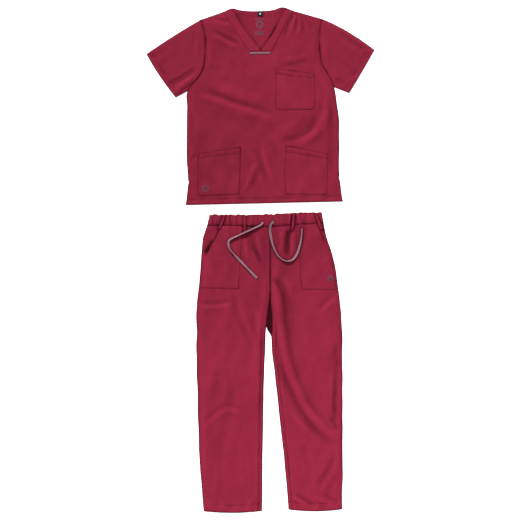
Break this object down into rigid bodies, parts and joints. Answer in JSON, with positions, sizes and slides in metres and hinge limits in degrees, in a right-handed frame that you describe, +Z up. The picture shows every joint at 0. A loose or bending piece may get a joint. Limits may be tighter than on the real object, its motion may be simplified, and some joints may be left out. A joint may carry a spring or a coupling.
{
  "type": "medical scrubs set",
  "caption": "Medical scrubs laid flat: short-sleeved V-neck top with chest and lower patch pockets above drawstring trousers with elastic waistband and belt loops",
  "frame": {"origin": "middle of the flat underside of the laid-out set", "axes": "+Y runs from the trouser hems up to the neck of the top, +X to the wearer's left, +Z up off the surface that the set lies on"},
  "size_m": [0.818, 1.82, 0.0148],
  "materials": {
    "scrubs_cloth": "fine plain-weave polyester and cotton cloth, matt with a faint sheen, dark crimson",
    "grey_trim": "flat woven tape, mauve grey, matt",
    "label_cloth": "small smooth woven size label, black"
  },
  "bodies": {
    "root": {"top_front": "scrubs_cloth", "top_back": "scrubs_cloth", "sleeve_right": "scrubs_cloth", "sleeve_left": "scrubs_cloth", "neck_band_right": "scrubs_cloth", "neck_band_left": "scrubs_cloth", "neck_tab": "grey_trim", "size_label": "label_cloth", "chest_pocket": "scrubs_cloth", "lower_pocket_right": "scrubs_cloth", "lower_pocket_left": "scrubs_cloth", "waistband": "scrubs_cloth", "leg_front_right": "scrubs_cloth", "leg_front_left": "scrubs_cloth", "leg_back_right": "scrubs_cloth", "leg_back_left": "scrubs_cloth", "trouser_pocket_right": "scrubs_cloth", "trouser_pocket_left": "scrubs_cloth", "belt_loop_side_right": "scrubs_cloth", "belt_loop_front_right": "scrubs_cloth", "belt_loop_front_left": "scrubs_cloth", "belt_loop_side_left": "scrubs_cloth", "drawstring_right": "grey_trim", "drawstring_left": "grey_trim"}
  },
  "joints": []
}
